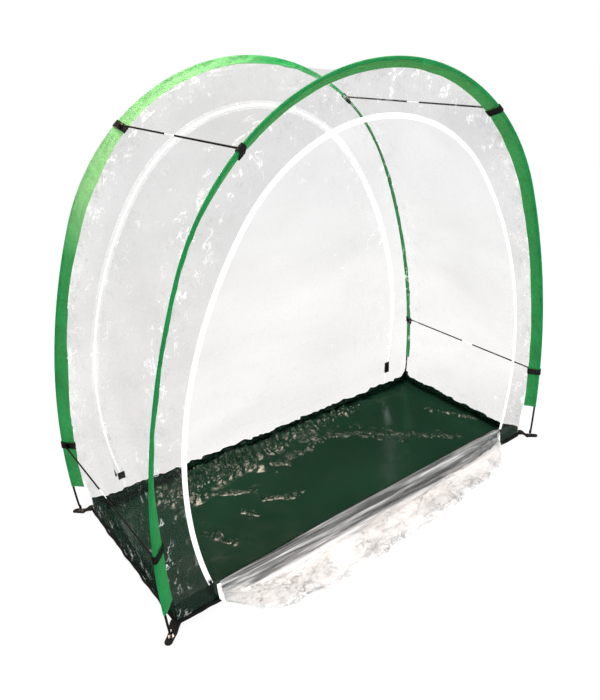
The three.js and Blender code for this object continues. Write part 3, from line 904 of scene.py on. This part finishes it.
def make_loop(mats, end, inward, level, side_name, side, body):
    """Webbing sewn round the sleeve, with a short tongue that the cord is made off to."""
    z = LOOP_HEIGHTS[level]
    centre, run, fin, length = hoop_frame(end, inward, z, side)
    normal = run.cross(fin)
    width, gap, thick = 0.0215, 0.0016, 0.0015
    layers = []
    for layer in (0.0, thick):
        pocket = POCKET + gap + layer
        seam = 0.0032 + layer
        loop = [(pocket * math.cos(a), pocket * math.sin(a))
                for a in np.linspace(0.5 * math.pi, 1.5 * math.pi, 9)]
        loop += [(length * 0.5, -(pocket + seam) / 2 - 0.0006), (length, -seam)]
        loop += [(length + 0.0016 + layer, 0.0), (length, seam)]
        loop += [(length * 0.5, (pocket + seam) / 2 + 0.0006)]
        layers.append(loop)
    points, faces = [], []
    count = len(layers[0])
    for offset in np.linspace(-0.5, 0.5, 5):
        bulge = 1 + 0.03 * math.cos(2 * math.pi * offset)
        for loop in layers:
            for along, across in loop:
                place = centre + fin * along + normal * (across * bulge)
                points.append(place + run * (offset * width))

    def at(k, layer, i):
        return (k * 2 + layer) * count + i % count

    for k in range(4):
        for i in range(count):
            faces.append((at(k, 1, i), at(k, 1, i + 1), at(k + 1, 1, i + 1), at(k + 1, 1, i)))
            faces.append((at(k, 0, i + 1), at(k, 0, i), at(k + 1, 0, i), at(k + 1, 0, i + 1)))
    for k, flip in ((0, False), (4, True)):
        for i in range(count):
            face = (at(k, 0, i), at(k, 0, i + 1), at(k, 1, i + 1), at(k, 1, i))
            faces.append(face[::-1] if flip else face)
    piece = make_object(f"{end}_strap_{level}_{side_name}", points, faces, smooth=False)
    recalculate(piece)
    dress(piece, mats["webbing"], body, f"{end}_loop_{level}_{side_name}")
    if end == "rear":
        towards = normal if normal.y < 0 else -normal
        place = centre + fin * (length * 0.52) + towards * (POCKET / 2 + 0.0062)
        make_snap(mats, f"{level}_{side_name}", place, towards)


def recalculate(piece):
    mesh = bmesh.new()
    mesh.from_mesh(piece.data)
    bmesh.ops.recalc_face_normals(mesh, faces=mesh.faces)
    mesh.to_mesh(piece.data)
    mesh.free()


SNAP_SIDES = 24


def make_snap(mats, name, place, towards):
    """A pressed snap: a ring, a groove and a low dome."""
    profile = [(0.0068, -0.0012), (0.0068, 0.0002), (0.0062, 0.0009), (0.0052, 0.0009),
               (0.0047, 0.0003), (0.0041, 0.0005), (0.0033, 0.0016), (0.0018, 0.0023),
               (0.0001, 0.0025)]
    side = towards.orthogonal().normalized()
    other = towards.cross(side)
    points = np.zeros((len(profile), SNAP_SIDES, 3))
    for i, (radius, height) in enumerate(profile):
        for j in range(SNAP_SIDES):
            a = 2 * math.pi * j / SNAP_SIDES
            points[i, j] = place + side * (radius * math.cos(a)) + other * (
                radius * math.sin(a)) + towards * height
    piece = grid(f"snap_stud_{name}", points, wrap_columns=True)
    add_caps(piece, len(profile), SNAP_SIDES, smooth=True)
    recalculate(piece)
    dress(piece, mats["brass"], "base", f"rear_snap_{name}")


def make_hoops(mats):
    for end, inward, body in ENDS:
        x, z, _, _ = HOOP.stations(ROD_FOOT_Z, 240)
        line = np.stack([x, np.full(240, -inward * HOOP_Y), z], axis=1)
        dress(tube(f"{end}_fibre_rod", line, ROD_RADIUS, 12), mats["rod"], body,
              f"{end}_rod")
        make_sleeve(mats, end, inward, body)
        for level in LOOP_HEIGHTS:
            for side_name, side in SIDES:
                make_loop(mats, end, inward, level, side_name, side, body)


# ---------------------------------------------------------------- groundsheet
def lip_height(u, v):
    """Height of the turned-up edge: tall at the sill, slumped at the back and the right."""
    right = np.clip((u + FLOOR_HALF_X) / (2 * FLOOR_HALF_X), 0, 1)
    rear = np.clip((v + FILM_Y) / (2 * FILM_Y), 0, 1)
    sill = np.interp(right, (0, 0.08, 0.4, 0.90, 1), (0.066, 0.070, 0.084, 0.090, 0.042))
    back = np.interp(right, (0, 0.4, 1), (0.056, 0.047, 0.042))
    return sill * (1 - rear) + back * rear


def near_line(u, v, line):
    """Distance from each place to a line of points."""
    best = np.full(np.shape(u), 9.0)
    for (ax, ay), (bx, by) in zip(line[:-1], line[1:]):
        dx, dy = bx - ax, by - ay
        t = np.clip(((u - ax) * dx + (v - ay) * dy) / (dx * dx + dy * dy), 0, 1)
        best = np.minimum(best, np.hypot(u - ax - t * dx, v - ay - t * dy))
    return best


FLOOR_PUCKERS = (
    ((0.07, 0.21), (0.24, 0.12), (0.55, -0.17)),
    ((-0.48, -0.03), (-0.43, -0.13)),
    ((-0.33, -0.02), (-0.30, -0.06)),
    ((-0.24, -0.01), (-0.15, -0.05)),
    ((0.60, 0.06), (0.69, -0.13)),
    ((-0.36, 0.12), (-0.24, 0.05)),
    ((-0.10, 0.14), (0.02, 0.13), (0.20, 0.17)),
)
PUCKER_WIDTHS = (0.024, 0.014, 0.012, 0.016, 0.013, 0.011, 0.020)


def crumple_zone(u, v, hy):
    """Where the sheet is crumpled, 0 to 1: along the back, and in a few puckered lines."""
    along_back = np.exp(-(((u + 0.03) / 0.50) ** 6))
    left_heavy = 0.75 + 0.25 * np.clip((0.15 - u) / 0.35, 0, 1)
    depth = 0.068 + 0.060 * np.clip((0.20 - u) / 0.40, 0, 1)
    ragged = 1 + 0.35 * noise2(u, v, 70, 0.07)
    back = np.clip(1.5 - (hy - v) / (depth * ragged), 0, 1) * along_back * left_heavy
    lines = [np.exp(-((near_line(u, v, line) * (1.2 + 0.9 * noise2(u, v, 69, 0.03)) / wide) ** 2))
             for line, wide in zip(FLOOR_PUCKERS, PUCKER_WIDTHS)]
    return back, np.max(lines, axis=0)


def floor_height(u, v, hy):
    """Creases of the floor: crumpled along the back, with a few puckered lines across it."""
    lift = 0.0028 * noise2(u, v, 71, 0.30) + 0.0030
    lift = lift + 0.0016 * creases(u, v, 72, 0.22) ** 2
    back, lines = crumple_zone(u, v, hy)
    skew = u + 0.45 * (hy - v)
    ribs = 1 - np.abs(noise2(skew, v * 0.35, 73, 0.021)) * 1.6
    ribs = ribs + 0.6 * (1 - np.abs(noise2(skew, v * 0.7, 74, 0.012)) * 1.6)
    lumps = 1 - np.abs(noise2(u, v, 75, 0.030)) * 1.6
    lift = lift + back * (0.010 + 0.0080 * ribs + 0.012 * lumps)
    fine = 1 - np.abs(noise2(u, v, 76, 0.014)) * 1.5
    return np.clip(lift + lines * (0.0020 + 0.0060 * fine), 0.0006, 0.040)


def make_groundsheet(mats):
    """A tray folded from one sheet: the floor, and four lips turned up beyond its edges."""
    step = 0.0052
    hx, hy = FLOOR_HALF_X - 0.001, FILM_Y - 0.001
    us = np.arange(-hx - LIP, hx + LIP + step / 2, step)
    vs = np.arange(-hy - LIP, hy + LIP + step / 2, step)
    us = np.sort(np.append(us[np.abs(np.abs(us) - hx) > step * 0.4], (-hx, hx)))
    vs = np.sort(np.append(vs[np.abs(np.abs(vs) - hy) > step * 0.4], (-hy, hy)))
    u, v = np.meshgrid(us, vs, indexing="ij")
    over_x = np.clip(np.abs(u) - hx, 0, None)
    over_y = np.clip(np.abs(v) - hy, 0, None)
    x, y = np.clip(u, -hx, hx), np.clip(v, -hy, hy)
    inside = np.minimum(hx - np.abs(x), hy - np.abs(y))
    edge = np.clip(inside / 0.025, 0, 1)
    over = np.maximum(over_x, over_y)
    top = lip_height(u, v)
    z = 0.0012 + np.where(over > 0, over / LIP * top, floor_height(u, v, hy) * edge)
    share = over / LIP
    corner_fade = np.clip((hx - np.abs(u)) / 0.05, 0, 1) * (over_y > 0)
    corner_fade = corner_fade + np.clip((hy - np.abs(v)) / 0.05, 0, 1) * (over_x > 0)
    slack = 1 - top / LIP
    waves = noise2(u + v, over * 0.3, 81, 0.024) + 0.6 * noise2(u - v, over * 0.5, 82, 0.011)
    lean = 0.85 * np.clip(slack, 0, 1) * LIP * share + 0.0060 * (waves + 0.8) * share ** 0.5
    lean = lean + 0.0085 * (v > 0) * noise2(u, over, 83, 0.016) * share ** 0.5
    lean = np.clip(lean, 0, None) * corner_fade * np.where((over_y > 0) & (v < 0), 0.25, 1)
    x = x - np.sign(u) * lean * (over_x > 0)
    y = y - np.sign(v) * lean * (over_y > 0)
    corner = (over_x > 0) & (over_y > 0)
    keep = ~(corner[:-1, :-1] | corner[1:, 1:] | corner[1:, :-1] | corner[:-1, 1:])
    piece = grid("ground_tray", np.stack([x, y, z], axis=2), keep=keep)
    back, lines = crumple_zone(x, y, hy)
    folded = np.maximum(back, lines)
    folded = np.maximum(folded, 0.30 * np.clip(over / 0.02, 0, 1) * ((u > 0) | (v > 0)))
    paint(piece, "crumple", folded)
    merge_close(piece, 1e-4)
    centres = np.zeros(3 * len(piece.data.polygons))
    piece.data.polygons.foreach_get("center", centres)
    back, lines = crumple_zone(centres[0::3], centres[1::3], hy)
    piece.data.polygons.foreach_set("use_smooth", np.maximum(back, lines) < 0.25)
    dress(piece, mats["sheet"], "base", "groundsheet")
    # painted highlight: a thin pale thread that glows, laid along the back lip's top edge
    rim = np.stack([x[:, -1], y[:, -1], z[:, -1] + 0.0006], axis=1)[np.abs(us) <= hx - 0.004]
    dress(tube("back_lip_highlight_thread", rim, 0.0009, 6), mats["link"], "base")
    follow_slide(piece)


def make_binding(mats):
    """Soft black edging rolled round the foot of the lip."""
    hx, hy = FLOOR_HALF_X + 0.0017, FILM_Y + 0.0017
    sides = [((-hx, -hy), (hx, -hy)), ((hx, -hy), (hx, hy)), ((hx, hy), (-hx, hy)),
             ((-hx, hy), (-hx, -hy))]
    rings = []
    for (ax, ay), (bx, by) in sides:
        length = math.hypot(bx - ax, by - ay)
        ox, oy = (by - ay) / length, -(bx - ax) / length
        for t in np.linspace(0, 1, int(length / 0.008), endpoint=False):
            x, y = ax + (bx - ax) * t, ay + (by - ay) * t
            end_fade = min(1.0, 12 * t, 12 * (1 - t))
            wobble = 0.0012 * math.sin(61 * x + 47 * y) + 0.0008 * math.sin(151 * x - 97 * y)
            wobble = (wobble + 0.0012) * end_fade
            ring = []
            for k in range(8):
                a = 2 * math.pi * k / 8
                out = 0.0036 * math.cos(a) + wobble + 0.0012
                ring.append((x + ox * out, y + oy * out, 0.0076 + 0.0072 * math.sin(a)))
            rings.append(ring)
    piece = grid("foot_binding", np.array(rings), wrap_rows=True, wrap_columns=True)
    dress(piece, mats["webbing"], "base", "floor_binding")
    follow_slide(piece)


# ---------------------------------------------------------------- open door
HEAP_LEFT = -0.580
HEAP_RIGHT = 0.590


def heap_reach(x):
    """How far the heap's front edge lies out from the lip."""
    wide = np.interp(x, (-0.58, -0.55, -0.515, -0.42, -0.28, -0.04, 0.20, 0.49, 0.56, 0.59),
                     (0.012, 0.060, 0.104, 0.148, 0.156, 0.150, 0.134, 0.096, 0.060, 0.022))
    ripple = 0.007 * noise2(x, 0 * x, 31, 0.060) + 0.004 * noise2(x, 0 * x, 32, 0.024)
    return np.clip(wide + ripple, 0.010, 0.160)


# The film's way from the sill: share of the reach, and height, at each turn of its folds.
SILL_PATH = ((0.00, 0.089), (0.07, 0.066), (0.20, 0.040), (0.42, 0.019), (0.70, 0.008))
HEAP_FOLDS = (
    (0.97, 0.004), (0.995, 0.010), (0.60, 0.013), (0.30, 0.016), (0.27, 0.021), (0.62, 0.019),
    (0.96, 0.012), (0.97, 0.018), (0.66, 0.024), (0.32, 0.026), (0.30, 0.031), (0.60, 0.030),
    (0.92, 0.019), (0.90, 0.025), (0.62, 0.034), (0.34, 0.036), (0.33, 0.041), (0.62, 0.038),
    (0.86, 0.027), (0.74, 0.035), (0.46, 0.043), (0.44, 0.047), (0.66, 0.042),
)


def make_front_door(mats):
    rows, columns = 340, 236
    x = np.linspace(HEAP_LEFT, HEAP_RIGHT, rows)[:, None]
    folds = SILL_PATH + HEAP_FOLDS
    turns = np.concatenate([np.linspace(0, 0.22, len(SILL_PATH)),
                            np.linspace(0.30, 1, len(HEAP_FOLDS))])
    t = np.linspace(0, 1, columns)
    share = np.interp(t, turns, [f[0] for f in folds])[None, :]
    height = np.interp(t, turns, [f[1] for f in folds])[None, :]
    free = np.clip((t - 0.20) / 0.12, 0, 1)[None, :]
    sill = 1 - free
    top = lip_height(x, np.full_like(x, -FILM_Y)) + 0.002
    height = height * (sill * top / SILL_PATH[0][1] + free)
    walk = t[None, :] * 1.1
    along = x + 0 * walk
    wander = 0.15 * noise2(along, walk, 91, 0.14) * free
    reach = heap_reach(x)
    out = np.clip(share + wander, 0.0, 1.0) * reach
    crumple = 0.016 * (creases(along, walk, 97, 0.12) - 0.35)
    lumps = 0.008 * noise2(along, walk, 103, 0.08) + 0.0035 * noise2(along, walk, 107, 0.028)
    z = height + (crumple + lumps) * free
    fan = along * 0.10 - walk * 1.0
    pulled = 0.0045 * noise2(fan, along * 0.06, 109, 0.012) * sill * np.clip(t / 0.03, 0, 1)
    fans = noise2(along * 0.5 + walk * 0.2, along, 111, 0.016) * sill
    fans = 0.010 * np.exp(-((HEAP_RIGHT - x) / 0.05)) * fans
    y = -FILM_Y - 0.0050 - out - np.abs(pulled + fans)
    shift = 0.008 * noise2(along, walk, 113, 0.06) * free
    px = np.clip(x + shift, HEAP_LEFT, HEAP_RIGHT)
    z = np.clip(z, 0.0015, 0.094)
    piece = grid("open_door_film", np.stack([px + 0 * z, y + 0 * z, z], axis=2))
    piece.data.materials.append(mats["heap"])
    piece.data.materials.append(mats["sill"])
    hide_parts("front_door")
    bands = columns - 1
    for face in piece.data.polygons:
        face.material_index = int((face.index % bands) / bands < 0.235)
    width, height, area = door_cut()
    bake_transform(piece)


def make_door_tape(mats):
    """The door's zip tape: over the lip at both ends and round the heap's front edge."""
    line, across = [], []
    climb = [(0.0050, 0.066), (0.0062, 0.052), (0.0085, 0.036), (0.0130, 0.020)]
    for out, z in climb:
        line.append((HEAP_LEFT - 0.003, -FILM_Y - out, z))
        across.append((1, 0, 0))
    for px in np.linspace(HEAP_LEFT, HEAP_RIGHT, 170):
        reach = float(heap_reach(px))
        slope = float(heap_reach(px + 0.004) - heap_reach(px - 0.004)) / 0.008
        length = math.hypot(1, slope)
        z = 0.006 + 0.003 * math.sin(px / 0.031) + 0.002 * math.sin(px / 0.013)
        line.append((px, -FILM_Y - 0.008 - reach, z))
        across.append((-slope / length * 0.8, -1 / length * 0.8, 0.25))
    for out, z in reversed(climb):
        line.append((HEAP_RIGHT + 0.003, -FILM_Y - out, z))
        across.append((-1, 0, 0))
    across = np.array(across, float)
    for _ in range(3):
        across[1:-1] = (across[:-2] + across[1:-1] * 2 + across[2:]) / 4
    piece = band("open_door_tape", np.array(line), across, ZIP_TAPE * 0.82, 0.0009)
    dress(piece, mats["tape"], "front_door", "front_door_zip_tape")


# ---------------------------------------------------------------- corner tabs
TAB_HALF_WIDTH = 0.0112
TAB_ROUND_FROM = 0.0168
TAB_TIP = 0.028
TAB_TAIL = -0.0435
TAB_HOLE = 0.0054
TAB_THICKNESS = 0.0015


def tab_reach(c, d):
    """How far the tab's outline is from its hole's middle, in the direction (c, d)."""
    reach = 0.0
    while reach < 0.06:
        along = reach * c
        wide = TAB_HALF_WIDTH + 0.0040 * min(max((-along - 0.002) / 0.03, 0), 1)
        if along > TAB_ROUND_FROM:
            wide = math.sqrt(max(TAB_HALF_WIDTH**2 - (along - TAB_ROUND_FROM) ** 2, 0))
        if abs(reach * d) > wide or not TAB_TAIL < along < TAB_TIP:
            break
        reach += 0.0004
    return reach


def make_tabs(mats):
    """Webbing from each corner of the sheet to the rod's foot, over the edging, with a hole."""
    for end, inward, body in ENDS:
        for side_name, side in SIDES:
            foot = Vector((side * HOOP_HALF_SPAN, -inward * HOOP_Y, 0))
            run = Vector((side * (HOOP_HALF_SPAN - FLOOR_HALF_X), -inward * (HOOP_Y - FILM_Y), 0))
            run.normalize()
            across = Vector((-run.y, run.x, 0))
            count, rings = 72, 9
            points = np.zeros((2 * rings, count, 3))
            for j in range(count):
                a = 2 * math.pi * j / count
                c, d = math.cos(a), math.sin(a)
                reach = tab_reach(c, d)
                for i in range(rings):
                    r = TAB_HOLE + (reach - TAB_HOLE) * i / (rings - 1)
                    along = r * c
                    climb = min(max((-along - 0.010) / 0.022, 0), 1)
                    z = 0.0020 + 0.0134 * climb * climb * (3 - 2 * climb)
                    z += 0.0006 * math.sin(along * 210 + side) * (abs(along) > 0.009)
                    place = foot + run * along + across * (r * d)
                    points[i, j] = (place.x, place.y, z + TAB_THICKNESS)
                    points[2 * rings - 1 - i, j] = (place.x, place.y, z)
            piece = grid(f"{end}_strap_{side_name}", points, wrap_rows=True, wrap_columns=True)
            recalculate(piece)
            dress(piece, mats["webbing"], body, f"{end}_corner_tab_{side_name}")


# ---------------------------------------------------------------- patches
def make_patches(mats):
    """Small webbing patches over the feet of the rear zip."""
    for side_name, side, height in (("left", -1, 0.026), ("right", 1, 0.048)):
        x, _, _ = ZIP.point(0.100, side)
        middle = np.linspace(-height / 2, height / 2, 9)
        line = np.stack([np.full(9, x), np.full(9, PATCH_Y), PATCH_Z + middle], axis=1)
        piece = band(f"zip_foot_{side_name}", line, np.tile((1.0, 0, 0), (9, 1)), 0.024, 0.0012)
        dress(piece, mats["webbing"], "base", f"rear_zip_patch_{side_name}")


# ---------------------------------------------------------------- CAD pieces that stay
def finish_cad_pieces(mats):
    """Gives the rod tips, eyelets, sliders and pulls their materials."""
    looks = {"steel": mats["steel"], "webbing": mats["webbing"]}
    slots = {s["node"]: s["material_slot"] for s in frame["record"]["subparts"]}
    for name, node in frame["nodes"].items():
        if slots.get(name) in looks and not node.hide_render:
            node.data.materials.clear()
            node.data.materials.append(looks[slots[name]])


# ---------------------------------------------------------------- setting
def make_light(name, place, aim, size, power, colour=(1, 1, 1), spread=None):
    kind = "SPOT" if spread else "AREA"
    data = bpy.data.lights.new(name, kind)
    data.energy = power
    data.color = colour
    if spread:
        data.shadow_soft_size = size
        data.spot_size = math.radians(spread)
        data.spot_blend = 1.0
    else:
        data.size = size
    light = bpy.data.objects.new(name, data)
    bpy.context.scene.collection.objects.link(light)
    light.location = place
    direction = Vector(aim) - Vector(place)
    light.rotation_euler = direction.to_track_quat("-Z", "Y").to_euler()


def make_setting():
    bpy.ops.mesh.primitive_plane_add(size=40, location=(0, 0, -0.0008))
    floor = bpy.context.object
    floor.name = "floor"
    m = Nodes("pale_floor")
    m.set(Roughness=0.9, Base_Color=(0.07, 0.07, 0.07, 1), Specular_IOR_Level=0.0,
          Emission_Color=(1, 1, 1, 1), Emission_Strength=0.93)
    floor.data.materials.append(m.material)
    floor.visible_glossy = False
    world = bpy.data.worlds.new("studio")
    bpy.context.scene.world = world
    world.use_nodes = True
    background = world.node_tree.nodes["Background"]
    background.inputs["Color"].default_value = (1, 1, 1, 1)
    background.inputs["Strength"].default_value = 1.0
    world.cycles_visibility.glossy = False
    warm = (1.0, 0.80, 0.68)
    make_light("softbox", (0.15, 0.95, 3.1), (-0.2, 0.2, 0.0), 1.25, 115.0, colour=warm)
    make_light("front_fill", (1.8, -2.6, 2.2), (0, 0, 0.4), 1.2, 22.0)
    make_light("rear_glow", (0.2, 1.6, 0.9), (-0.49, 0.33, 1.22), 0.20, 420.0, spread=36)
    scene = bpy.context.scene
    scene.view_settings.view_transform = "Standard"
    scene.cycles.transparent_max_bounces = 32


make_camera()
materials = make_materials()
make_cords(materials)
make_setting()
make_hoops(materials)
make_roof_film(materials)
make_panels(materials)
make_rear_door(materials)
make_zips(materials)
make_patches(materials)
make_tabs(materials)
make_groundsheet(materials)
make_binding(materials)
make_front_door(materials)
make_door_tape(materials)
finish_cad_pieces(materials)
